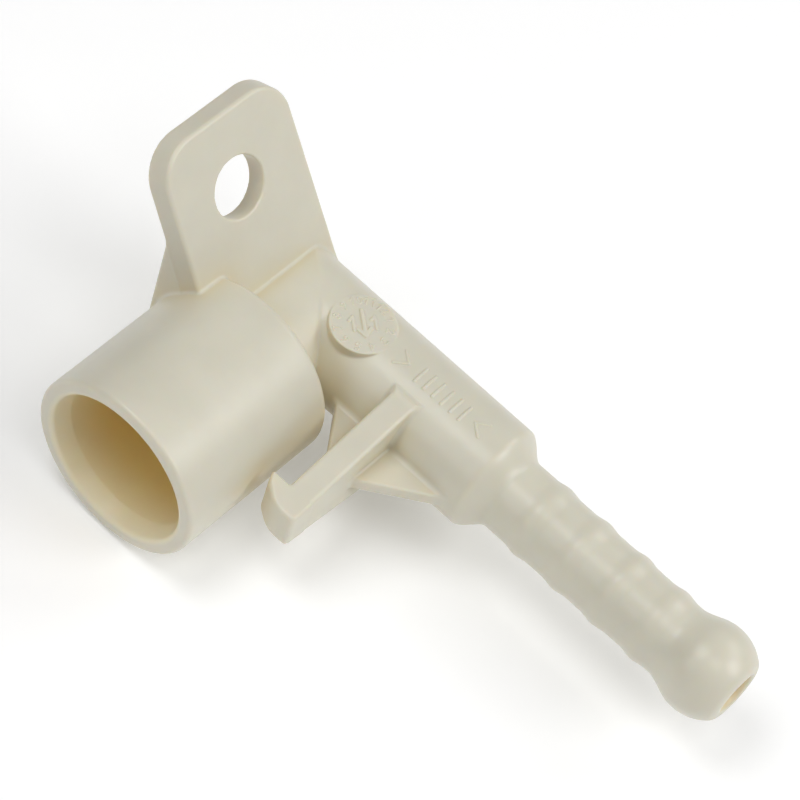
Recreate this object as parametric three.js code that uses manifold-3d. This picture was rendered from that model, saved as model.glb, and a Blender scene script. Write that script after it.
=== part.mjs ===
// Right-angle hose connector, injection moulded, with a mounting ear and a snap hook.
// The socket lies along -Y, the hose barb along +X, and the top of the tube faces +Z.
import * as THREE from "three";
import { mergeVertices } from "three/addons/utils/BufferGeometryUtils.js";
import Module from "manifold-3d";

const wasm = await Module();
wasm.setup();

// Driving dimensions, in millimetres. The elbow's two axes cross at the local origin.
const GAP = 0.3;
const FINE = 48;
const COARSE = 36;

const SOCKET_RADIUS = 12.5;
const SOCKET_MOUTH_Y = -34.6;
const SOCKET_BACK_Y = -10.2;
const SOCKET_BORE_RADIUS = 9.75;
const MOUTH_INNER_RADIUS = 10.45;
const LEAD_IN_DEPTH = 2.7;
const RIM_LENGTH = 4.0;
const RIM_ROUND = 0.35;
const BACK_ROUND = 1.2;
const SOCKET_FLOOR_THICKNESS = 2.6;

const TUBE_RADIUS = 7.37;
const PASSAGE_RADIUS = 5.2;
const ELBOW_END_X = 13.2;
const TUBE_END_X = 31.0;

const BARB_RADIUS = 5.0;
const BARB_START_X = 35.0;
const BARB_BORE_RADIUS = 2.4;
const BEAD_HEIGHT = 0.27;
const BEAD_HALF_LENGTH = 2.0;
const BEAD_PITCH = 6.35;
const FIRST_BEAD_X = 39.3;
const BEAD_COUNT = 4;

const BALL_RADIUS = 6.27;
const BALL_X = 66.0;
const BALL_START_X = 61.4;
const TIP_X = 70.8;
const TIP_CHAMFER = 0.4;

const EAR_TILT = THREE.MathUtils.degToRad(32.3);
const EAR_FRONT = -0.42;
const EAR_THICKNESS = 3.0;
const EAR_SPREAD = 0.75;
const EAR_LEFT_Y = -14.6;
const EAR_TOP = 31.6;
const EAR_BOTTOM = 4.0;
const EAR_TOP_RIGHT_Y = 6.2;
const EAR_BASE_RIGHT_Y = 7.5;
const EAR_CORNER = 5.3;
const EAR_HOLE_Y = -4.45;
const EAR_HOLE_HEIGHT = 21.55;
const EAR_HOLE_RADIUS = 4.1;

const GUSSET_OUTER_X = -13.2;
const GUSSET_BOTTOM_Z = 0;
const GUSSET_LEFT_Y = -15.1;
const GUSSET_THICKNESS = 2.6;

const ARM_INNER_X = 16.4;
const ARM_OUTER_X = 20.0;
const ARM_END_Y = -25.1;
const LIP_START_Y = -21.7;
const LIP_TIP_X = 13.7;
const ARM_END_HALF_HEIGHT = 2.85;
const ARM_TAPER = 0.18;
const WEB_HALF_THICKNESS = 1.0;

const DIAL_X = 7.8;
const DIAL_Y = -0.4;
const DIAL_RADIUS = 4.35;
const DIAL_SEAT_Z = 5.9;
const DIAL_TOP_Z = 7.25;
const RELIEF = 0.25;
const TICK_COUNT = 12;
const POINTER_TURN = THREE.MathUtils.degToRad(-39);

const MARK_Y = -0.45;
const MARK_HEIGHT = 2.8;
const MARK_STROKE = 0.45;
const MARK_BASE_Z = 7.39;
const CHEVRON_X = [13.9, 27.9];
const CHEVRON_DEPTH = 1.7;
const BAR_COUNT = 6;
const BAR_START_X = 17.2;
const BAR_PITCH = 1.45;

const ivory = { color: 0xe9dfc6, roughness: 0.42, metalness: 0 };
const part = new THREE.Group();

// Turns a closed three.js geometry into a solid that can be cut and joined.
function solidOf(geometry) {
  const plain = geometry.index ? geometry.toNonIndexed() : geometry.clone();
  plain.deleteAttribute("normal");
  plain.deleteAttribute("uv");
  const merged = mergeVertices(plain, 1e-5);
  const vertProperties = new Float32Array(merged.attributes.position.array);
  const triVerts = new Uint32Array(merged.index.array);
  return new wasm.Manifold(new wasm.Mesh({ numProp: 3, vertProperties, triVerts }));
}

function geometryOf(solid) {
  const mesh = solid.getMesh();
  const geometry = new THREE.BufferGeometry();
  geometry.setAttribute("position", new THREE.BufferAttribute(mesh.vertProperties, 3));
  geometry.setIndex(new THREE.BufferAttribute(mesh.triVerts, 1));
  geometry.computeVertexNormals();
  return geometry;
}

function addPiece(name, geometry) {
  const mesh = new THREE.Mesh(geometry, new THREE.MeshStandardMaterial(ivory));
  mesh.name = name;
  part.add(mesh);
  return mesh;
}

// Revolves a closed profile of [radius, position] pairs about the Y axis.
function aboutY(profile, segments) {
  const points = profile.map(([radius, position]) => new THREE.Vector2(radius, position));
  points.push(points[0].clone());
  return new THREE.LatheGeometry(points, segments);
}

// Revolves a closed profile of [radius, position] pairs about the X axis.
function aboutX(profile, segments) {
  return aboutY(profile, segments).rotateZ(-Math.PI / 2);
}

function rodAboutY(radius, fromY, toY) {
  const rod = new THREE.CylinderGeometry(radius, radius, toY - fromY, FINE);
  return solidOf(rod.translate(0, (fromY + toY) / 2, 0));
}

function rodAboutX(radius, fromX, toX) {
  const rod = new THREE.CylinderGeometry(radius, radius, toX - fromX, FINE);
  return solidOf(rod.translate(0, (fromX + toX) / 2, 0).rotateZ(-Math.PI / 2));
}

function rodAboutZ(radius, fromZ, toZ, segments) {
  const rod = new THREE.CylinderGeometry(radius, radius, toZ - fromZ, segments);
  return rod.rotateX(Math.PI / 2).translate(0, 0, (fromZ + toZ) / 2);
}

function box(fromX, toX, fromY, toY, fromZ, toZ) {
  const block = new THREE.BoxGeometry(toX - fromX, toY - fromY, toZ - fromZ);
  return block.translate((fromX + toX) / 2, (fromY + toY) / 2, (fromZ + toZ) / 2);
}

// Extrudes an outline in the XY plane from one height to another.
function plate(outline, fromZ, toZ) {
  const shape = new THREE.Shape(outline.map(([x, y]) => new THREE.Vector2(x, y)));
  const options = { depth: toZ - fromZ, bevelEnabled: false, curveSegments: 8 };
  return new THREE.ExtrudeGeometry(shape, options).translate(0, 0, fromZ);
}

// The outside of the elbow: two equal cylinders that meet at right angles in a mitre.
function elbowOutside(radius, fromY, toX) {
  const reach = radius + 1;
  const corner = rodAboutY(radius, -reach, reach).intersect(rodAboutX(radius, -reach, reach));
  const neck = rodAboutY(radius, fromY, 0);
  const tube = rodAboutX(radius, 0, toX);
  return neck.add(corner).add(tube);
}

// Quarter-round from one [radius, position] pair to another about a centre.
function roundEdge(centreRadius, centrePosition, radius, fromAngle, toAngle, steps) {
  const points = [];
  for (let step = 0; step <= steps; step += 1) {
    const angle = THREE.MathUtils.degToRad(fromAngle + ((toAngle - fromAngle) * step) / steps);
    points.push([
      centreRadius + radius * Math.cos(angle),
      centrePosition + radius * Math.sin(angle),
    ]);
  }
  return points;
}

// Socket: a rim with a tapered lead-in, a plain barrel and a floor with the passage in it.
const rimEndY = SOCKET_MOUTH_Y + RIM_LENGTH;
const leadInEndY = SOCKET_MOUTH_Y + LEAD_IN_DEPTH;
const floorY = SOCKET_BACK_Y - SOCKET_FLOOR_THICKNESS;
const rimProfile = [
  [SOCKET_BORE_RADIUS, rimEndY],
  [SOCKET_BORE_RADIUS, leadInEndY],
  [MOUTH_INNER_RADIUS, SOCKET_MOUTH_Y + RIM_ROUND],
  [MOUTH_INNER_RADIUS + RIM_ROUND / 2, SOCKET_MOUTH_Y],
  ...roundEdge(SOCKET_RADIUS - RIM_ROUND, SOCKET_MOUTH_Y + RIM_ROUND, RIM_ROUND, -90, 0, 3),
  [SOCKET_RADIUS, rimEndY],
];
addPiece("socket_rim", aboutY(rimProfile, FINE));

const barrelProfile = [
  [SOCKET_BORE_RADIUS, floorY],
  [SOCKET_BORE_RADIUS, rimEndY],
  [SOCKET_RADIUS, rimEndY],
  [SOCKET_RADIUS, floorY],
];
addPiece("socket_barrel", aboutY(barrelProfile, FINE));

const floorProfile = [
  [PASSAGE_RADIUS, SOCKET_BACK_Y],
  [PASSAGE_RADIUS, floorY],
  [SOCKET_RADIUS, floorY],
  ...roundEdge(SOCKET_RADIUS - BACK_ROUND, SOCKET_BACK_Y - BACK_ROUND, BACK_ROUND, 0, 90, 4),
];
addPiece("socket_floor", aboutY(floorProfile, FINE));

// Elbow: neck and tube start in one piece, bored through, with a flat seat for the dial.
const elbowPassage = rodAboutY(PASSAGE_RADIUS, SOCKET_BACK_Y - 1, 0)
  .add(rodAboutX(PASSAGE_RADIUS, 0, ELBOW_END_X + 1))
  .add(solidOf(new THREE.SphereGeometry(PASSAGE_RADIUS, 24, 16)));
const dialPocket = solidOf(
  rodAboutZ(DIAL_RADIUS + GAP, DIAL_SEAT_Z, DIAL_SEAT_Z + 5, COARSE).translate(DIAL_X, DIAL_Y, 0),
);
const elbow = elbowOutside(TUBE_RADIUS, SOCKET_BACK_Y, ELBOW_END_X)
  .subtract(elbowPassage)
  .subtract(dialPocket);
addPiece("elbow", geometryOf(elbow));

// Body tube and the rounded shoulder that steps down to the barb.
const tubeProfile = [
  [PASSAGE_RADIUS, TUBE_END_X],
  [PASSAGE_RADIUS, ELBOW_END_X],
  [TUBE_RADIUS, ELBOW_END_X],
  [TUBE_RADIUS, TUBE_END_X],
];
addPiece("body_tube", aboutX(tubeProfile, FINE));

const shoulderProfile = [
  [BARB_BORE_RADIUS, BARB_START_X],
  [BARB_BORE_RADIUS, TUBE_END_X],
  [TUBE_RADIUS, TUBE_END_X],
  [7.12, TUBE_END_X + 0.6],
  [6.7, TUBE_END_X + 1.1],
  [5.85, TUBE_END_X + 2.0],
  [5.35, TUBE_END_X + 2.6],
  [5.08, TUBE_END_X + 3.3],
  [BARB_RADIUS, BARB_START_X],
];
addPiece("tube_shoulder", aboutX(shoulderProfile, FINE));

// Hose barb: plain lands with low rounded beads between them, all bored through.
function barbSection(name, fromX, toX, outside) {
  const profile = [[BARB_BORE_RADIUS, toX], [BARB_BORE_RADIUS, fromX], ...outside];
  addPiece(name, aboutX(profile, COARSE));
}

function land(name, fromX, toX) {
  barbSection(name, fromX, toX, [[BARB_RADIUS, fromX], [BARB_RADIUS, toX]]);
}

function bead(name, centreX) {
  const outside = [];
  for (let step = 0; step <= 8; step += 1) {
    const along = -1 + step / 4;
    const rise = BEAD_HEIGHT * Math.cos((along * Math.PI) / 2) ** 2;
    outside.push([BARB_RADIUS + rise, centreX + along * BEAD_HALF_LENGTH]);
  }
  barbSection(name, centreX - BEAD_HALF_LENGTH, centreX + BEAD_HALF_LENGTH, outside);
}

let landStart = BARB_START_X;
for (let index = 0; index < BEAD_COUNT; index += 1) {
  const centreX = FIRST_BEAD_X + index * BEAD_PITCH;
  land(`barb_land_${index + 1}`, landStart, centreX - BEAD_HALF_LENGTH);
  bead(`barb_bead_${index + 1}`, centreX);
  landStart = centreX + BEAD_HALF_LENGTH;
}
land(`barb_land_${BEAD_COUNT + 1}`, landStart, BALL_START_X);

// Ball end with a flat tip and a lightly chamfered outlet.
const ballOutside = [[BARB_RADIUS, BALL_START_X], [5.12, BALL_START_X + 0.6]];
const ballFromAngle = 122;
const ballToAngle = THREE.MathUtils.radToDeg(Math.acos((TIP_X - BALL_X) / BALL_RADIUS));
for (let step = 0; step <= 9; step += 1) {
  const turn = ballFromAngle + ((ballToAngle - ballFromAngle) * step) / 9;
  const angle = THREE.MathUtils.degToRad(turn);
  ballOutside.push([BALL_RADIUS * Math.sin(angle), BALL_X + BALL_RADIUS * Math.cos(angle)]);
}
ballOutside.push([BARB_BORE_RADIUS + TIP_CHAMFER, TIP_X]);
const ballProfile = [
  [BARB_BORE_RADIUS, TIP_X - TIP_CHAMFER],
  [BARB_BORE_RADIUS, BALL_START_X],
  ...ballOutside,
];
addPiece("ball_tip", aboutX(ballProfile, COARSE));

// Mounting ear: a flat plate that leans back about Y, with one screw hole.
// Its local axes are Y, up the plate, and out of its front face.
const earFrame = new THREE.Matrix4().makeBasis(
  new THREE.Vector3(0, 1, 0),
  new THREE.Vector3(-Math.sin(EAR_TILT), 0, Math.cos(EAR_TILT)),
  new THREE.Vector3(Math.cos(EAR_TILT), 0, Math.sin(EAR_TILT)),
);
function earOutline(spread) {
  const corners = new THREE.Shape();
  const left = EAR_LEFT_Y - spread;
  const right = EAR_TOP_RIGHT_Y + spread;
  const top = EAR_TOP + spread;
  corners.moveTo(left, EAR_BOTTOM);
  corners.lineTo(EAR_BASE_RIGHT_Y, EAR_BOTTOM);
  corners.absarc(right - EAR_CORNER, top - EAR_CORNER, EAR_CORNER, 0, Math.PI / 2, false);
  corners.absarc(left + EAR_CORNER, top - EAR_CORNER, EAR_CORNER, Math.PI / 2, Math.PI, false);
  return corners.getPoints(10);
}

// The plate spreads from its front outline to a larger one at its back.
const earCorners = [
  ...earOutline(0).map((point) => new THREE.Vector3(point.x, point.y, EAR_FRONT)),
  ...earOutline(EAR_SPREAD).map(
    (point) => new THREE.Vector3(point.x, point.y, EAR_FRONT - EAR_THICKNESS),
  ),
].map((corner) => corner.applyMatrix4(earFrame).toArray());
const earHole = solidOf(
  rodAboutZ(EAR_HOLE_RADIUS, EAR_FRONT - EAR_THICKNESS - 1, EAR_FRONT + 1, COARSE)
    .translate(EAR_HOLE_Y, EAR_HOLE_HEIGHT, 0)
    .applyMatrix4(earFrame),
);
const bodyClearance = elbowOutside(TUBE_RADIUS + GAP, SOCKET_BACK_Y - 1, 20).add(
  rodAboutY(SOCKET_RADIUS + GAP, SOCKET_MOUTH_Y, SOCKET_BACK_Y + GAP),
);
const earPlate = wasm.Manifold.hull(earCorners).subtract(earHole).subtract(bodyClearance);
addPiece("mounting_ear", geometryOf(earPlate));

// Gusset behind the ear, beside its left edge, that runs straight down past the socket.
const earBack = EAR_FRONT - EAR_THICKNESS - GAP;
const onEarBackX = (z) => (earBack - z * Math.sin(EAR_TILT)) / Math.cos(EAR_TILT);
const onEarBackZ = (x) => (earBack - x * Math.cos(EAR_TILT)) / Math.sin(EAR_TILT);
const gussetOutline = [
  [GUSSET_OUTER_X, GUSSET_BOTTOM_Z],
  [onEarBackX(GUSSET_BOTTOM_Z), GUSSET_BOTTOM_Z],
  [GUSSET_OUTER_X, onEarBackZ(GUSSET_OUTER_X)],
];
const gusset = plate(gussetOutline, -GUSSET_THICKNESS, 0);
gusset.rotateX(Math.PI / 2).translate(0, GUSSET_LEFT_Y, 0);
addPiece("ear_gusset", geometryOf(solidOf(gusset).subtract(bodyClearance)));

// Hook: an arm that tapers in height towards its end, and a lip turned to the socket.
function halfHeight(y) {
  return ARM_END_HALF_HEIGHT + ARM_TAPER * (y - ARM_END_Y);
}

const sideOutline = [
  [ARM_END_Y, -halfHeight(ARM_END_Y)],
  [0, -halfHeight(0)],
  [0, halfHeight(0)],
  [ARM_END_Y, halfHeight(ARM_END_Y)],
];
const sideFrame = new THREE.Matrix4().makeBasis(
  new THREE.Vector3(0, 1, 0),
  new THREE.Vector3(0, 0, 1),
  new THREE.Vector3(1, 0, 0),
);
const sideWedge = solidOf(plate(sideOutline, 0, 40).applyMatrix4(sideFrame));
const tubeClearance = rodAboutX(TUBE_RADIUS + GAP, 0, 40);
const armBlank = solidOf(box(ARM_INNER_X, ARM_OUTER_X, LIP_START_Y, -2, -10, 10));
addPiece("hook_arm", geometryOf(armBlank.intersect(sideWedge).subtract(tubeClearance)));

const lipOutline = [
  [ARM_OUTER_X, LIP_START_Y],
  [LIP_TIP_X + 0.4, LIP_START_Y],
  [LIP_TIP_X, LIP_START_Y - 0.5],
  [LIP_TIP_X + 0.3, LIP_START_Y - 1.5],
  [LIP_TIP_X + 1.1, LIP_START_Y - 2.6],
  [LIP_TIP_X + 2.4, ARM_END_Y + 0.2],
  [LIP_TIP_X + 3.4, ARM_END_Y],
  [ARM_OUTER_X - 1, ARM_END_Y],
  [ARM_OUTER_X - 0.3, ARM_END_Y + 0.3],
  [ARM_OUTER_X, ARM_END_Y + 1],
];
const lipBlank = solidOf(plate(lipOutline, -10, 10));
addPiece("hook_lip", geometryOf(lipBlank.intersect(sideWedge)));

function web(name, outline) {
  const blank = solidOf(plate(outline, -WEB_HALF_THICKNESS, WEB_HALF_THICKNESS));
  addPiece(name, geometryOf(blank.subtract(tubeClearance)));
}

web("hook_web_inner", [[11.2, -7.0], [ARM_INNER_X, -14.8], [ARM_INNER_X, -7.0]]);
web("hook_web_outer", [[ARM_OUTER_X, -7.0], [ARM_OUTER_X, -14.2], [29.0, -7.7], [29.0, -7.0]]);

// Date dial: a flat disc with a pointer and a ring of plain ticks.
const dial = addPiece("date_dial", rodAboutZ(DIAL_RADIUS, DIAL_SEAT_Z, DIAL_TOP_Z, COARSE));
dial.position.set(DIAL_X, DIAL_Y, 0);

const pointerOutline = [[1.9, 0], [0.5, 1.0], [0.5, 0.35], [-1.7, 0.35], [-1.7, -0.35]];
pointerOutline.push([0.5, -0.35], [0.5, -1.0]);
const pointer = addPiece(
  "dial_pointer",
  plate(pointerOutline, DIAL_TOP_Z, DIAL_TOP_Z + RELIEF),
);
pointer.rotation.z = POINTER_TURN;
pointer.position.set(DIAL_X, DIAL_Y, 0);

for (let index = 0; index < TICK_COUNT; index += 1) {
  const tick = addPiece(
    `dial_tick_${index + 1}`,
    box(2.9, 3.9, -0.25, 0.25, DIAL_TOP_Z, DIAL_TOP_Z + RELIEF),
  );
  tick.rotation.z = (index / TICK_COUNT) * Math.PI * 2;
  tick.position.set(DIAL_X, DIAL_Y, 0);
}

// Plain raised marks along the crown of the tube: upright bars between two chevrons.
const markTop = MARK_Y + MARK_HEIGHT / 2;
const markBottom = MARK_Y - MARK_HEIGHT / 2;
for (let index = 0; index < BAR_COUNT; index += 1) {
  const fromX = BAR_START_X + index * BAR_PITCH;
  const toX = fromX + MARK_STROKE;
  addPiece(
    `tube_bar_${index + 1}`,
    box(fromX, toX, markBottom, markTop, MARK_BASE_Z, MARK_BASE_Z + RELIEF),
  );
}

for (const [index, openX] of CHEVRON_X.entries()) {
  const depth = index === 0 ? CHEVRON_DEPTH : -CHEVRON_DEPTH;
  const stroke = MARK_STROKE * 1.3 * Math.sign(depth);
  const outline = [
    [openX, markTop],
    [openX + stroke, markTop],
    [openX + depth, MARK_Y],
    [openX + stroke, markBottom],
    [openX, markBottom],
    [openX + depth - stroke, MARK_Y],
  ];
  addPiece(`tube_chevron_${index + 1}`, plate(outline, MARK_BASE_Z, MARK_BASE_Z + RELIEF));
}

// The whole part stands with the bottom centre of its bounding box at the origin.
const bounds = new THREE.Box3().setFromObject(part);
const centre = bounds.getCenter(new THREE.Vector3());
part.position.set(-centre.x, -centre.y, -bounds.min.z);
part.updateMatrixWorld(true);

export default part;
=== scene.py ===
"""A moulded right-angle hose connector: its looks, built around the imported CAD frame.

The real part is one injection moulding, so its skin is modelled as one continuous surface: a
distance field in millimetres, with a fillet wherever two features meet, turned into a mesh.
The raised marks are relief on a finer patch of the same mesh.
"""

import math

import bmesh
import bpy
import numpy as np
from mathutils import Matrix, Vector


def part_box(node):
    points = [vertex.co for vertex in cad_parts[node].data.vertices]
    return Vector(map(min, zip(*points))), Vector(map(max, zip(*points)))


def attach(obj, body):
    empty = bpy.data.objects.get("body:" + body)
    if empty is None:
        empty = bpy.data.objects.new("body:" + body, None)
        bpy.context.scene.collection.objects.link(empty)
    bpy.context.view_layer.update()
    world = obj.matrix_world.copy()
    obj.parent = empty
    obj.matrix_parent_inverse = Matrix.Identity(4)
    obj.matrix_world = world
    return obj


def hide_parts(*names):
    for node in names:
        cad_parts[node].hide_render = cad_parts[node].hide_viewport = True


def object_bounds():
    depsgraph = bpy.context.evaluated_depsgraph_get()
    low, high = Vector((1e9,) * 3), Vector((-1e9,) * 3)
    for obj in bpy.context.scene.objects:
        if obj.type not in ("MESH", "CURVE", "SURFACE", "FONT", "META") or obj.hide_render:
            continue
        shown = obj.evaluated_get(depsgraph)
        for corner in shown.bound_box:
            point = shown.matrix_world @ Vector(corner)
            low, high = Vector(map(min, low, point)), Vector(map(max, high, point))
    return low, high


MM = 0.001

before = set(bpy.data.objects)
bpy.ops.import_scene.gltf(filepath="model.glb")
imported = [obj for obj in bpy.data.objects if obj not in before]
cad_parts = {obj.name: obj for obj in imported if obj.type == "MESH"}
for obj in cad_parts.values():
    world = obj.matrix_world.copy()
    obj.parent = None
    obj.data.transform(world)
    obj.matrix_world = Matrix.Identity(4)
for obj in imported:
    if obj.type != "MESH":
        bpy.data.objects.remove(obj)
cad_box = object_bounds()


# ---------------------------------------------------------------- places from the frame

def box_mm(node):
    low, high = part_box(node)
    return np.array(low) / MM, np.array(high) / MM


def centre_mm(node):
    low, high = box_mm(node)
    return (low + high) / 2


# The elbow's origin: the socket's axis crosses the tube's axis there.
ORIGIN = np.array([
    centre_mm("socket_rim")[0],
    centre_mm("body_tube")[1],
    centre_mm("body_tube")[2],
])


def local_box(node):
    low, high = box_mm(node)
    return low - ORIGIN, high - ORIGIN


rim_low, rim_high = local_box("socket_rim")
floor_low, floor_high = local_box("socket_floor")
_, tube_high = local_box("body_tube")
land_low, land_high = local_box("barb_land_1")
_, ball_high = local_box("ball_tip")
arm_low, arm_high = local_box("hook_arm")
lip_low, lip_high = local_box("hook_lip")
gusset_low, gusset_high = local_box("ear_gusset")
dial_low, dial_high = local_box("date_dial")

SOCKET_RADIUS = rim_high[0]
SOCKET_MOUTH = rim_low[1]
SOCKET_BACK = floor_high[1]
SOCKET_FLOOR = floor_low[1]
TUBE_RADIUS = tube_high[2]
TUBE_END = tube_high[0]
BARB_RADIUS = land_high[2]
BARB_START = land_low[0]
BALL_RADIUS = ball_high[2]
TIP = ball_high[0]
DIAL_CENTRE = (dial_low[:2] + dial_high[:2]) / 2
DIAL_RADIUS = (dial_high[0] - dial_low[0]) / 2
DIAL_TOP = dial_high[2]
GUSSET_OUTER = gusset_low[0]
GUSSET_BOTTOM = gusset_low[2]
GUSSET_RIGHT = gusset_high[1]
BEADS = []
for index in range(1, 5):
    bead_low, bead_high = local_box(f"barb_bead_{index}")
    BEADS.append((bead_low[0], bead_high[0], bead_high[2] - BARB_RADIUS))

# Sizes that the boxes don't give by themselves, in millimetres. Angles are in radians.
SOCKET_BORE = 9.75
MOUTH_INNER = 10.45
LEAD_IN_DEPTH = 2.7
MOUTH_ROUND = 0.7
MOUTH_INNER_ROUND = 0.6
BACK_ROUND = 1.2
FLOOR_ROUND = 0.8
SHOULDER_START = TUBE_END - 0.15
SHOULDER_LENGTH = BARB_START - TUBE_END - 0.4
MITRE_ROUND = 0.2
MITRE_REACH = 6
ELBOW_LAP = 0.6
BALL_FILLET = 0.8
TIP_ROUND = 0.5
PASSAGE_RADIUS = 5.2
OUTLET_RADIUS = 2.4
OUTLET_FLARE = 0.55
OUTLET_FLARE_DEPTH = 0.8
BALL_CENTRE = TIP - 4.8
EAR_TILT = math.radians(32.3)
EAR_FRONT = -0.42
EAR_THICKNESS = 3.0
EAR_SPREAD = 0.17
EAR_LEFT = -14.75
EAR_TOP = 31.75
EAR_RIGHT_TOP = 6.35
EAR_RIGHT_BASE = 7.35
EAR_CORNER = 5.3
EAR_HOLE = (-4.45, 21.55)
EAR_HOLE_RADIUS = 4.0
EAR_HOLE_SPREAD = 0.08
EAR_EDGE_ROUND = 0.45
EAR_HOLE_ROUND = 0.25
GUSSET_LEFT = EAR_LEFT - EAR_SPREAD * EAR_THICKNESS
GUSSET_CORNER_ROUND = 0.5
GUSSET_LAP = 0.3
HOOK_END_HALF_HEIGHT = 2.85
HOOK_TAPER = 0.18
HOOK_NOSE = (3.1, 2.2)
HOOK_NOSE_ROUND = 1.0
HOOK_END_ROUND = 0.8
HOOK_EDGE_ROUND = 0.5
WEB_HALF_THICKNESS = 1.0
THIN_EDGE_ROUND = 0.3
WEB_INNER_START = (11.2, -7.3)
WEB_OUTER_START = (29.0, -7.7)
WEB_APEX = (17.4, -16.1)
DIAL_DEPTH = 2.5
DIAL_EDGE_ROUND = 0.2
POINTER_TURN = math.radians(-39)
MONTH_RING = 3.4
YEAR_OFFSET = 1.4

# Fillets where two features meet.
ELBOW_FILLET = 0.5
EAR_FILLET = 0.5
GUSSET_FILLET = 0.3
WEB_FILLET = 0.4
HOOK_FILLET = 0.7
DIAL_FILLET = 0.2
PASSAGE_ROUND = 0.3

# Size of the figures, then width and relief of each kind of stroke, and a stroke's flank.
MONTH_SIZE = 1.0
YEAR_SIZE = 2.0
FIGURE_GAP = 0.3
ARROW_STROKE = (0.6, 0.22)
MONTH_STROKE = (0.22, 0.12)
YEAR_STROKE = (0.45, 0.16)
TUBE_STROKE = (0.4, 0.11)
STROKE_FLANK = 0.16

# Lights and camera: distances in metres, the lens in millimetres and turns in degrees.
LIGHT_SIZE = 0.35
LIGHT_DISTANCE = 0.7
CAMERA_DISTANCE = 0.4555
CAMERA_LENS = 167.4
CAMERA_TURN = (25.263, 55.144, 20.522)

# The grid that the surface is found on, in millimetres.
GRID_STEP = 0.25


# ---------------------------------------------------------------- distance field

def join(a, b, radius):
    """Union of two shapes, with a concave fillet where they meet at a right angle."""
    corner = np.hypot(np.maximum(radius - a, 0), np.maximum(radius - b, 0))
    return np.maximum(radius, np.minimum(a, b)) - corner


def common(a, b, radius):
    """What two shapes share, with a rounded edge."""
    return -join(-a, -b, radius)


def cut(a, b, radius):
    """The first shape without the second, with a rounded edge."""
    return common(a, -b, radius)


def smooth(share):
    """Eases a share from 0 to 1 in and out."""
    return share * share * (3 - 2 * share)


def beyond_line(x, y, start, end):
    """Distance to the right of a line in the plane that runs from start to end."""
    along = np.array(end, float) - np.array(start, float)
    along /= np.hypot(*along)
    return (x - start[0]) * along[1] - (y - start[1]) * along[0]


def socket_outside(x, y, z):
    wall = np.hypot(x, z) - SOCKET_RADIUS
    return common(common(wall, SOCKET_MOUTH - y, MOUTH_ROUND), y - SOCKET_BACK, BACK_ROUND)


def socket_bore(x, y, z):
    depth = y - SOCKET_MOUTH
    lead_in = np.clip(1 - depth / LEAD_IN_DEPTH, 0, 1)
    radius = SOCKET_BORE + (MOUTH_INNER - SOCKET_BORE) * lead_in
    return common(np.hypot(x, z) - radius, y - SOCKET_FLOOR, FLOOR_ROUND)


def tube_profile(x):
    """Radius of the tube, its shoulder and the beaded barb at each place along X."""
    fall = np.clip((x - SHOULDER_START) / SHOULDER_LENGTH, 0, 1)
    radius = TUBE_RADIUS + (BARB_RADIUS - TUBE_RADIUS) * smooth(fall)
    for start, end, height in BEADS:
        across = np.clip((x - start) / (end - start), 0, 1)
        radius = radius + height * np.sin(across * math.pi) ** 2
    return radius


def elbow_and_barb(x, y, z):
    reach = 0.05
    slope = (tube_profile(x + reach) - tube_profile(x - reach)) / (2 * reach)
    across_tube = np.hypot(y, z)
    tube = (across_tube - tube_profile(x)) / np.sqrt(1 + slope * slope)
    tube = np.maximum(tube, x - BALL_CENTRE)
    neck = np.hypot(x, z) - TUBE_RADIUS
    softness = MITRE_ROUND * np.clip(np.abs(x - y) / MITRE_REACH, 0.005, 1)
    elbow = np.where(x > y, join(neck, tube, softness), common(neck, tube, softness))
    elbow = np.maximum(elbow, SOCKET_BACK - ELBOW_LAP - y)
    ball = np.sqrt((x - BALL_CENTRE) ** 2 + across_tube**2) - BALL_RADIUS
    return common(join(elbow, ball, BALL_FILLET), x - TIP, TIP_ROUND)


def water_way(x, y, z):
    neck = np.maximum(np.hypot(x, z) - PASSAGE_RADIUS, y)
    neck = np.maximum(neck, SOCKET_FLOOR - 2 - y)
    tube = np.maximum(np.hypot(y, z) - PASSAGE_RADIUS, np.maximum(-x, x - TUBE_END))
    bend = np.sqrt(x * x + y * y + z * z) - PASSAGE_RADIUS
    widen = OUTLET_FLARE * np.clip(1 + (x - TIP) / OUTLET_FLARE_DEPTH, 0, 1.5)
    outlet = np.maximum(np.hypot(y, z) - OUTLET_RADIUS - widen, TUBE_END - 1 - x)
    return np.minimum(np.minimum(neck, bend), np.minimum(tube, outlet))


def up_the_ear(x, z):
    return z * math.cos(EAR_TILT) - x * math.sin(EAR_TILT)


def out_of_the_ear(x, z):
    return x * math.cos(EAR_TILT) + z * math.sin(EAR_TILT)


def ear(x, y, z):
    height = up_the_ear(x, z)
    depth = EAR_FRONT - out_of_the_ear(x, z)
    spread = EAR_SPREAD * np.clip(depth, 0, EAR_THICKNESS)
    right_edge = beyond_line(
        y, height, (EAR_RIGHT_BASE, 0), (EAR_RIGHT_TOP, EAR_TOP - EAR_CORNER)
    )
    outline = common(EAR_LEFT - spread - y, height - EAR_TOP - spread, EAR_CORNER)
    outline = np.maximum(common(outline, right_edge, EAR_CORNER), -height)
    faces = np.abs(depth - EAR_THICKNESS / 2) - EAR_THICKNESS / 2
    plate = common(outline, faces, EAR_EDGE_ROUND)
    hole = np.hypot(y - EAR_HOLE[0], height - EAR_HOLE[1]) - EAR_HOLE_RADIUS
    hole = hole - EAR_HOLE_SPREAD * np.clip(depth, 0, EAR_THICKNESS)
    return cut(plate, hole, EAR_HOLE_ROUND)


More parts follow.
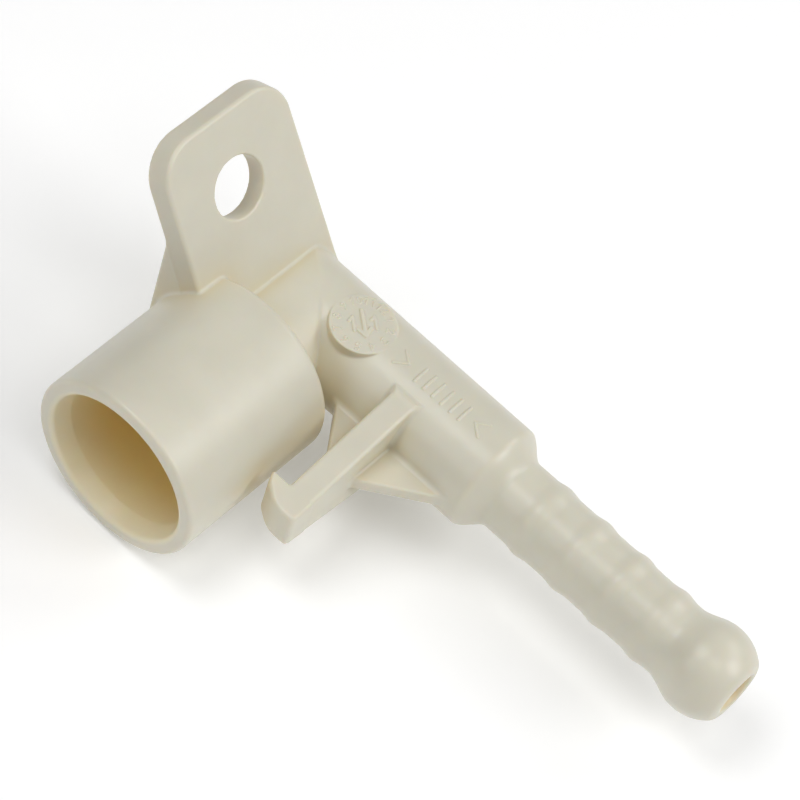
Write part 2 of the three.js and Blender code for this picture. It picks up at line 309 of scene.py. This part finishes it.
def gusset(x, y, z):
    depth = EAR_FRONT - out_of_the_ear(x, z)
    sides = np.abs(y - (GUSSET_LEFT + GUSSET_RIGHT) / 2) - (GUSSET_RIGHT - GUSSET_LEFT) / 2
    outline = common(GUSSET_OUTER - x, GUSSET_BOTTOM - z, GUSSET_CORNER_ROUND)
    outline = np.maximum(outline, EAR_THICKNESS - GUSSET_LAP - depth)
    return common(sides, outline, THIN_EDGE_ROUND)


def hook(x, y, z):
    end = lip_low[1]
    half_height = HOOK_END_HALF_HEIGHT + HOOK_TAPER * (y - end)
    faces = (np.abs(z) - half_height) / math.hypot(1, HOOK_TAPER)
    arm = np.maximum(np.maximum(arm_low[0] - x, x - arm_high[0]), y + TUBE_RADIUS / 2)
    lip = np.maximum(np.maximum(x - arm_high[0], y - lip_high[1]), lip_low[0] - x)
    plan = join(arm, lip, THIN_EDGE_ROUND)
    start = lip_low[0] + 0.1
    nose = beyond_line(x, y, (start, end + HOOK_NOSE[1]), (start + HOOK_NOSE[0], end))
    plan = common(plan, nose, HOOK_NOSE_ROUND)
    plan = common(plan, end - y, HOOK_END_ROUND)
    return common(plan, faces, HOOK_EDGE_ROUND)


def webs(x, y, z):
    inner = beyond_line(x, y, WEB_APEX, WEB_INNER_START)
    outer = beyond_line(x, y, WEB_OUTER_START, WEB_APEX)
    outline = np.maximum(np.maximum(-inner, -outer), y + TUBE_RADIUS / 2)
    return common(outline, np.abs(z) - WEB_HALF_THICKNESS, THIN_EDGE_ROUND)


def dial(x, y, z):
    side = np.hypot(x - DIAL_CENTRE[0], y - DIAL_CENTRE[1]) - DIAL_RADIUS
    return common(np.maximum(side, DIAL_TOP - DIAL_DEPTH - z), z - DIAL_TOP, DIAL_EDGE_ROUND)


def moulding(x, y, z):
    """Signed distance to the whole part, in millimetres: negative inside the plastic."""
    body = join(socket_outside(x, y, z), elbow_and_barb(x, y, z), ELBOW_FILLET)
    braced_ear = join(ear(x, y, z), gusset(x, y, z), GUSSET_FILLET)
    body = join(body, braced_ear, EAR_FILLET)
    braced_hook = join(hook(x, y, z), webs(x, y, z), WEB_FILLET)
    body = join(body, braced_hook, HOOK_FILLET)
    body = join(body, dial(x, y, z), DIAL_FILLET)
    body = cut(body, socket_bore(x, y, z), MOUTH_INNER_ROUND)
    return cut(body, water_way(x, y, z), PASSAGE_ROUND)


# ---------------------------------------------------------------- surface from the field

def field_on_grid(low, counts, step, block=20):
    """The field on a grid. Blocks far from the surface hold only their middle's distance."""
    values = np.empty(counts, np.float32)
    axes = [low[a] + step * np.arange(counts[a]) for a in range(3)]
    reach = step * block * math.sqrt(3) / 2
    for i in range(0, counts[0], block):
        for j in range(0, counts[1], block):
            for k in range(0, counts[2], block):
                part = [axes[0][i:i + block], axes[1][j:j + block], axes[2][k:k + block]]
                middle = [np.array([(a[0] + a[-1]) / 2]) for a in part]
                distance = moulding(*middle)[0]
                if abs(distance) < reach * 1.4 + 1:
                    distance = moulding(*np.meshgrid(*part, indexing="ij"))
                values[i:i + block, j:j + block, k:k + block] = distance
    return values


def net_of(values, low, step):
    """Surface net of the zero level: one vertex in each crossed cell, one quad an edge."""
    inside = values < 0
    corners = [(i, j, k) for i in (0, 1) for j in (0, 1) for k in (0, 1)]
    size = np.array(values.shape) - 1

    def corner(array, offset):
        return array[tuple(slice(o, o + n) for o, n in zip(offset, size))]

    count = sum(corner(inside, c).astype(np.int8) for c in corners)
    cells = np.argwhere((count > 0) & (count < 8))
    total = np.zeros((len(cells), 3))
    crossed = np.zeros((len(cells), 1))
    for first in corners:
        for axis in range(3):
            if first[axis]:
                continue
            second = tuple(1 if a == axis else first[a] for a in range(3))
            a = values[tuple((cells + first).T)]
            b = values[tuple((cells + second).T)]
            change = (a < 0) != (b < 0)
            share = np.where(change, a / np.where(change, a - b, 1), 0)
            point = np.array(first, float) + share[:, None] * np.eye(3)[axis]
            total += point * change[:, None]
            crossed += change[:, None]
    vertices = np.array(low) + step * (cells + total / crossed)

    number = np.full(size, -1, np.int64)
    number[tuple(cells.T)] = np.arange(len(cells))
    quads = []
    for axis in range(3):
        u, v = (axis + 1) % 3, (axis + 2) % 3
        ahead = np.zeros(3, int)
        ahead[axis] = 1
        near = inside[tuple(slice(0, n) for n in size)]
        far = corner(inside, ahead)
        for flip in (False, True):
            edges = np.argwhere((near != far) & (near == flip))
            edges = edges[(edges[:, u] > 0) & (edges[:, v] > 0)]
            ring = []
            for back_u, back_v in ((0, 0), (1, 0), (1, 1), (0, 1)):
                cell = edges.copy()
                cell[:, u] -= back_u
                cell[:, v] -= back_v
                ring.append(number[tuple(cell.T)])
            quads.append(np.stack(ring[::-1] if not flip else ring, axis=1))
    return vertices, np.concatenate(quads)


def slope_of_field(field, points, reach=0.03):
    slope = np.empty_like(points)
    for axis in range(3):
        ahead, behind = points.copy(), points.copy()
        ahead[:, axis] += reach
        behind[:, axis] -= reach
        slope[:, axis] = (field(*ahead.T) - field(*behind.T)) / (2 * reach)
    return slope


def settle(field, points, rounds=3):
    """Moves each point down the field's slope onto the surface, and gives its normal."""
    for _ in range(rounds):
        slope = slope_of_field(field, points)
        steepness = np.maximum((slope**2).sum(1), 0.2)
        move = np.clip(field(*points.T) / steepness, -GRID_STEP, GRID_STEP)
        points = points - slope * move[:, None]
    slope = slope_of_field(field, points)
    return points, slope / np.linalg.norm(slope, axis=1)[:, None]


# ---------------------------------------------------------------- raised marks

DIGIT_SIZE = (0.6, 1.0)
DIGITS = {
    "0": [(0.3, 1), (0.05, 0.8), (0, 0.5), (0.05, 0.2), (0.3, 0), (0.55, 0.2), (0.6, 0.5),
          (0.55, 0.8), (0.3, 1)],
    "1": [(0.1, 0.75), (0.35, 1), (0.35, 0)],
    "2": [(0, 0.8), (0.2, 1), (0.45, 1), (0.6, 0.75), (0, 0), (0.6, 0)],
    "3": [(0, 0.9), (0.3, 1), (0.55, 0.78), (0.25, 0.55), (0.6, 0.28), (0.3, 0), (0, 0.1)],
    "4": [(0.45, 0), (0.45, 1), (0, 0.3), (0.6, 0.3)],
    "5": [(0.55, 1), (0.1, 1), (0.05, 0.55), (0.4, 0.6), (0.6, 0.3), (0.3, 0), (0, 0.1)],
    "6": [(0.5, 1), (0.1, 0.6), (0, 0.3), (0.3, 0), (0.6, 0.3), (0.3, 0.55), (0.05, 0.4)],
    "7": [(0, 1), (0.6, 1), (0.2, 0)],
    "8": [(0.3, 0.52), (0.05, 0.75), (0.3, 1), (0.55, 0.75), (0.3, 0.52), (0, 0.27), (0.3, 0),
          (0.6, 0.27), (0.3, 0.52)],
    "9": [(0.1, 0), (0.5, 0.4), (0.6, 0.7), (0.3, 1), (0, 0.7), (0.3, 0.45), (0.55, 0.6)],
}


def turned(strokes, angle, centre):
    """Strokes turned about their own origin and then moved."""
    c, s = math.cos(angle), math.sin(angle)
    return [
        [(centre[0] + x * c - y * s, centre[1] + x * s + y * c) for x, y in stroke]
        for stroke in strokes
    ]


def number_strokes(text, size):
    """The strokes of a number, centred on the origin."""
    pitch = DIGIT_SIZE[0] + FIGURE_GAP
    middle = ((len(text) - 1) * pitch + DIGIT_SIZE[0]) / 2
    return [
        [((x + index * pitch - middle) * size, (y - DIGIT_SIZE[1] / 2) * size)
         for x, y in DIGITS[digit]]
        for index, digit in enumerate(text)
    ]


def dial_marks():
    """Strokes, width and relief of the arrow, the two year figures and the twelve months."""
    arrow = [[(-1.9, 0), (1.7, 0)], [(0.8, 0.8), (1.8, 0), (0.8, -0.8)]]
    marks = [(turned(arrow, POINTER_TURN, DIAL_CENTRE), *ARROW_STROKE)]
    for month in range(1, 13):
        angle = math.pi / 2 - month * math.pi / 6
        spot = DIAL_CENTRE + MONTH_RING * np.array([math.cos(angle), math.sin(angle)])
        strokes = turned(number_strokes(str(month), MONTH_SIZE), angle - math.pi / 2, spot)
        marks.append((strokes, *MONTH_STROKE))
    across = POINTER_TURN + math.pi / 2
    for side in (YEAR_OFFSET, -YEAR_OFFSET):
        spot = DIAL_CENTRE + side * np.array([math.cos(across), math.sin(across)])
        strokes = turned(number_strokes("1", YEAR_SIZE), across, spot)
        marks.append((strokes, *YEAR_STROKE))
    return marks


def tube_marks():
    """Strokes, width and relief of the upright bars between two chevrons."""
    marks = []
    edge = TUBE_STROKE[0] / 2
    for index in range(1, 7):
        low, high = local_box(f"tube_bar_{index}")
        middle = (low[0] + high[0]) / 2
        marks.append(([[(middle, low[1] + edge), (middle, high[1] - edge)]], *TUBE_STROKE))
    for index, point in ((1, 1), (2, -1)):
        low, high = local_box(f"tube_chevron_{index}")
        back, front = (low[0], high[0]) if point > 0 else (high[0], low[0])
        middle, wing = (low[1] + high[1]) / 2, (high[1] - low[1]) / 2 - edge
        bend = [(back, middle + wing), (front - edge * point, middle), (back, middle - wing)]
        marks.append(([bend], *TUBE_STROKE))
    return marks


def relief_of(marks, x, y):
    """How far the marks stand out of the surface at each place in the XY plane."""
    relief = np.zeros(len(x))
    for strokes, width, height in marks:
        for stroke in strokes:
            for start, end in zip(stroke[:-1], stroke[1:]):
                run = np.subtract(end, start)
                share = ((x - start[0]) * run[0] + (y - start[1]) * run[1]) / (run @ run)
                share = np.clip(share, 0, 1)
                off = np.hypot(x - start[0] - share * run[0], y - start[1] - share * run[1])
                rise = np.clip((width / 2 + 0.05 - off) / STROKE_FLANK, 0, 1)
                relief = np.maximum(relief, height * smooth(rise))
    return relief


def refine(vertices, faces, chosen, cuts):
    """Splits the chosen quads into a finer grid, and gives all vertices and polygons."""
    shape = bmesh.new()
    corners = [shape.verts.new(vertex) for vertex in vertices]
    quads = [shape.faces.new([corners[index] for index in face]) for face in faces]
    edges = {edge for index in chosen for edge in quads[index].edges}
    bmesh.ops.subdivide_edges(shape, edges=list(edges), cuts=cuts, use_grid_fill=True)
    shape.verts.index_update()
    finer = np.array([vertex.co for vertex in shape.verts])
    polygons = [[vertex.index for vertex in face.verts] for face in shape.faces]
    shape.free()
    return finer, polygons


# Its value sets how much shade is painted into the plastic's colour in the crevices.
def shelter_of(points, normals):
    """How far each place is shut in by the plastic around it: 0 in the open, up to 1."""
    total = np.zeros(len(points))
    for reach in (2, 4, 8):
        room = moulding(*(points + reach * normals).T) / reach
        total += 1 - np.clip(room, 0, 1)
    return total / 3


def make_moulding():
    low = np.array(cad_box[0]) / MM - ORIGIN - 1
    high = np.array(cad_box[1]) / MM - ORIGIN + 1
    counts = np.ceil((high - low) / GRID_STEP).astype(int) + 1
    values = field_on_grid(low, counts, GRID_STEP)
    vertices, faces = net_of(values, low, GRID_STEP)
    vertices, _ = settle(moulding, vertices, 2)

    marks = dial_marks() + tube_marks()
    patch_low = np.array([DIAL_CENTRE[0] - DIAL_RADIUS, DIAL_CENTRE[1] - DIAL_RADIUS])
    patch_high = np.array([TUBE_END - 2.5, DIAL_CENTRE[1] + DIAL_RADIUS])

    def in_patch(points):
        inside = (points[:, :2] > patch_low) & (points[:, :2] < patch_high)
        return inside.all(1) & (points[:, 2] > TUBE_RADIUS * 0.75)

    chosen = np.flatnonzero(in_patch(vertices[faces].mean(1)))
    vertices, polygons = refine(vertices, faces.tolist(), chosen, 3)

    def marked(x, y, z):
        return moulding(x, y, z) - relief_of(marks, x, y)

    normals = np.empty_like(vertices)
    patch = in_patch(vertices)
    vertices[patch], normals[patch] = settle(marked, vertices[patch], 3)
    vertices[~patch], normals[~patch] = settle(moulding, vertices[~patch], 1)

    mesh = bpy.data.meshes.new("moulded_body")
    mesh.from_pydata(((vertices + ORIGIN) * MM).tolist(), [], polygons)
    mesh.update()
    mesh.shade_smooth()
    mesh.normals_split_custom_set_from_vertices(normals.tolist())
    # The shelter attribute is the mask of the painted crevice shade.
    layer = mesh.attributes.new("shelter", "FLOAT", "POINT")
    layer.data.foreach_set("value", shelter_of(vertices, normals))
    made = bpy.data.objects.new("moulded_body", mesh)
    bpy.context.scene.collection.objects.link(made)
    return made


# ---------------------------------------------------------------- materials

def material(name):
    made = bpy.data.materials.new(name)
    made.use_nodes = True
    return made, made.node_tree.nodes, made.node_tree.links


def set_and_link(links, node, fixed, linked):
    """Sets a node's fixed inputs and links the rest, both by the name or number of the input."""
    for name, value in fixed.items():
        node.inputs[name].default_value = value
    for name, output in linked.items():
        links.new(output, node.inputs[name])


def maths(tree, operation, first, second):
    """A maths node whose second input is an output of another node or a number."""
    node = tree.nodes.new("ShaderNodeMath")
    node.operation = operation
    fixed = {1: second} if isinstance(second, float) else {}
    linked = {0: first} if fixed else {0: first, 1: second}
    set_and_link(tree.links, node, fixed, linked)
    return node.outputs["Value"]


def vector_maths(tree, operation, first, second=(0, 0, 0)):
    node = tree.nodes.new("ShaderNodeVectorMath")
    node.operation = operation
    set_and_link(tree.links, node, {1: second}, {0: first})
    return node


def distance_off_axis(tree, offset, across):
    """Distance from an axis through the elbow's origin; across is 0 along that axis."""
    flat = vector_maths(tree, "MULTIPLY", offset, across).outputs["Vector"]
    return vector_maths(tree, "LENGTH", flat).outputs["Value"]


def fade(tree, value, start, end, strength=1.0):
    """0 where the value is at the start, and the full strength where it is at the end."""
    node = tree.nodes.new("ShaderNodeMapRange")
    fixed = {"From Min": start, "From Max": end, "To Max": strength}
    set_and_link(tree.links, node, fixed, {"Value": value})
    return node.outputs["Result"]


def colour_ramp(tree, value, *stops):
    """A colour for each value, from stops of place and colour."""
    node = tree.nodes.new("ShaderNodeValToRGB")
    elements = node.color_ramp.elements
    for element, (position, colour) in zip(elements, (stops[0], stops[-1])):
        element.position = position
        element.color = (*colour, 1)
    for position, colour in stops[1:-1]:
        elements.new(position).color = (*colour, 1)
    tree.links.new(value, node.inputs["Fac"])
    return node.outputs["Color"]


def colour_mix(tree, factor, fixed, linked):
    """A mix of two colours, at inputs 6 and 7, each either fixed or linked."""
    node = tree.nodes.new("ShaderNodeMix")
    node.data_type = "RGBA"
    set_and_link(tree.links, node, fixed, {"Factor": factor, **linked})
    return node.outputs[2]


def noise(tree, place, scale, detail):
    node = tree.nodes.new("ShaderNodeTexNoise")
    set_and_link(tree.links, node, {"Scale": scale, "Detail": detail}, {"Vector": place})
    return node.outputs["Fac"]


def inner_share(tree, offset, along_socket):
    """How far a place belongs to the socket's bore, or less strongly to the outlet; the mask of
    the painted amber light.
    """
    off_socket = distance_off_axis(tree, offset, (1, 0, 1))
    off_tube = distance_off_axis(tree, offset, (0, 1, 1))
    in_bore = fade(tree, off_socket, (MOUTH_INNER + 0.6) * MM, (MOUTH_INNER + 0.1) * MM)
    before_floor = maths(tree, "LESS_THAN", along_socket, float((SOCKET_FLOOR + 1) * MM))
    in_bore = maths(tree, "MULTIPLY", in_bore, before_floor)
    outlet_edge = (OUTLET_RADIUS + 0.6) * MM
    in_outlet = fade(tree, off_tube, outlet_edge, outlet_edge - 0.4 * MM, 0.3)
    return maths(tree, "MAXIMUM", in_bore, in_outlet)


def plastic_colour(tree, place):
    """Mottled ivory; painted shade makes it warmer and darker in the crevices, and painted light
    makes it amber inside, where light comes through.
    """
    mottle = noise(tree, place, 160, 3)
    ivory = colour_ramp(tree, mottle, (0.3, (0.665, 0.64, 0.53)), (0.7, (0.695, 0.67, 0.56)))
    shelter = tree.nodes.new("ShaderNodeAttribute")
    shelter.attribute_name = "shelter"
    # Painted shade: a warmer, darker colour mixed in where the plastic shuts a place in,
    # standing for shade and light bounced in the crevices.
    painted_crevice_shade = {7: (0.68, 0.605, 0.43, 1)}
    ivory_with_painted_shade = colour_mix(tree, shelter.outputs["Fac"], painted_crevice_shade, {6: ivory})

    # Painted light: inside the bore and the outlet the colour is amber, deepening towards the
    # socket floor, standing for light that comes through the walls and bounces inside.
    offset = vector_maths(tree, "SUBTRACT", place, ORIGIN * MM).outputs["Vector"]
    split = tree.nodes.new("ShaderNodeSeparateXYZ")
    tree.links.new(offset, split.inputs["Vector"])
    along_socket = split.outputs["Y"]
    depth = fade(tree, along_socket, SOCKET_MOUTH * MM, SOCKET_FLOOR * MM)
    painted_inner_light = colour_ramp(
        tree, depth,
        (0, (0.80, 0.75, 0.57)), (0.35, (0.90, 0.75, 0.38)), (1, (0.97, 0.72, 0.20)),
    )
    return colour_mix(tree, inner_share(tree, offset, along_socket), {}, {6: ivory_with_painted_shade, 7: painted_inner_light})


def ivory_plastic():
    """Satin moulded plastic that light sinks into, with a fine grain."""
    made, nodes, links = material("ivory_plastic")
    tree = made.node_tree
    shader = nodes["Principled BSDF"]
    shader.inputs["IOR"].default_value = 1.5
    shader.inputs["Subsurface Weight"].default_value = 0.5
    shader.inputs["Subsurface Radius"].default_value = (1.0, 0.65, 0.35)
    shader.inputs["Subsurface Scale"].default_value = 0.0018

    place = nodes.new("ShaderNodeTexCoord").outputs["Object"]
    links.new(plastic_colour(tree, place), shader.inputs["Base Color"])

    grain = noise(tree, place, 2600, 4)
    gloss = nodes.new("ShaderNodeMapRange")
    set_and_link(links, gloss, {"To Min": 0.28, "To Max": 0.4}, {"Value": grain})
    links.new(gloss.outputs["Result"], shader.inputs["Roughness"])
    bump = nodes.new("ShaderNodeBump")
    set_and_link(links, bump, {"Strength": 0.12, "Distance": 0.00005}, {"Height": grain})
    links.new(bump.outputs["Normal"], shader.inputs["Normal"])
    return made


# ---------------------------------------------------------------- stage, light, camera

def place_world(point_mm):
    return Vector((np.array(point_mm, float) + ORIGIN) * MM)


def make_floor():
    bpy.ops.mesh.primitive_plane_add(size=3, location=(0, 0, cad_box[0].z - 0.0005))
    floor = bpy.context.object
    floor.name = "studio_floor"
    made, nodes, links = material("floor_white")
    fixed = {
        "Base Color": (0.95, 0.95, 0.95, 1),
        "Roughness": 0.9,
        "Emission Color": (1, 1, 1, 1),
        "Emission Strength": 0.16,
    }
    set_and_link(links, nodes["Principled BSDF"], fixed, {})
    floor.data.materials.append(made)


def direction(azimuth, elevation):
    """Unit vector from the part, with azimuth turned from its front towards its right."""
    return Vector((
        math.sin(azimuth) * math.cos(elevation),
        -math.cos(azimuth) * math.cos(elevation),
        math.sin(elevation),
    ))


def area_light(name, azimuth, elevation, power):
    light = bpy.data.lights.new(name, "AREA")
    light.shape = "DISK"
    light.size = LIGHT_SIZE
    light.energy = power
    holder = bpy.data.objects.new(name, light)
    away = direction(math.radians(azimuth), math.radians(elevation))
    holder.location = away * LIGHT_DISTANCE
    holder.rotation_euler = away.to_track_quat("Z", "Y").to_euler()
    bpy.context.scene.collection.objects.link(holder)


def make_lights():
    world = bpy.data.worlds.new("studio")
    world.use_nodes = True
    world.node_tree.nodes["Background"].inputs["Color"].default_value = (1, 1, 1, 1)
    world.node_tree.nodes["Background"].inputs["Strength"].default_value = 0.15
    bpy.context.scene.world = world
    area_light("right_key", 112, 40, 1.58)
    area_light("top_right", 60, 68, 0.82)
    area_light("top_left", 300, 68, 1.42)
    area_light("front_left", 337, 40, 0.52)
    area_light("back_right", 157, 40, 0.78)
    bpy.context.scene.view_settings.view_transform = "Standard"


def make_camera():
    """A long lens above and in front of the part, turned so that the socket is at left."""
    aim = place_world((16.0, -0.53, 0.0))
    azimuth, elevation, roll = (math.radians(angle) for angle in CAMERA_TURN)
    away = direction(azimuth, elevation)
    lens = bpy.data.cameras.new("camera")
    lens.sensor_width = 36
    lens.lens = CAMERA_LENS
    holder = bpy.data.objects.new("camera", lens)
    turn = away.to_track_quat("Z", "Y").to_matrix() @ Matrix.Rotation(roll, 3, "Z")
    holder.matrix_world = Matrix.Translation(aim + away * CAMERA_DISTANCE) @ turn.to_4x4()
    bpy.context.scene.collection.objects.link(holder)
    bpy.context.scene.camera = holder


# ---------------------------------------------------------------- build

plastic = ivory_plastic()
body = make_moulding()
body.data.materials.append(plastic)
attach(body, "root")
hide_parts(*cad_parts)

make_floor()
make_lights()
make_camera()

bpy.context.view_layer.update()
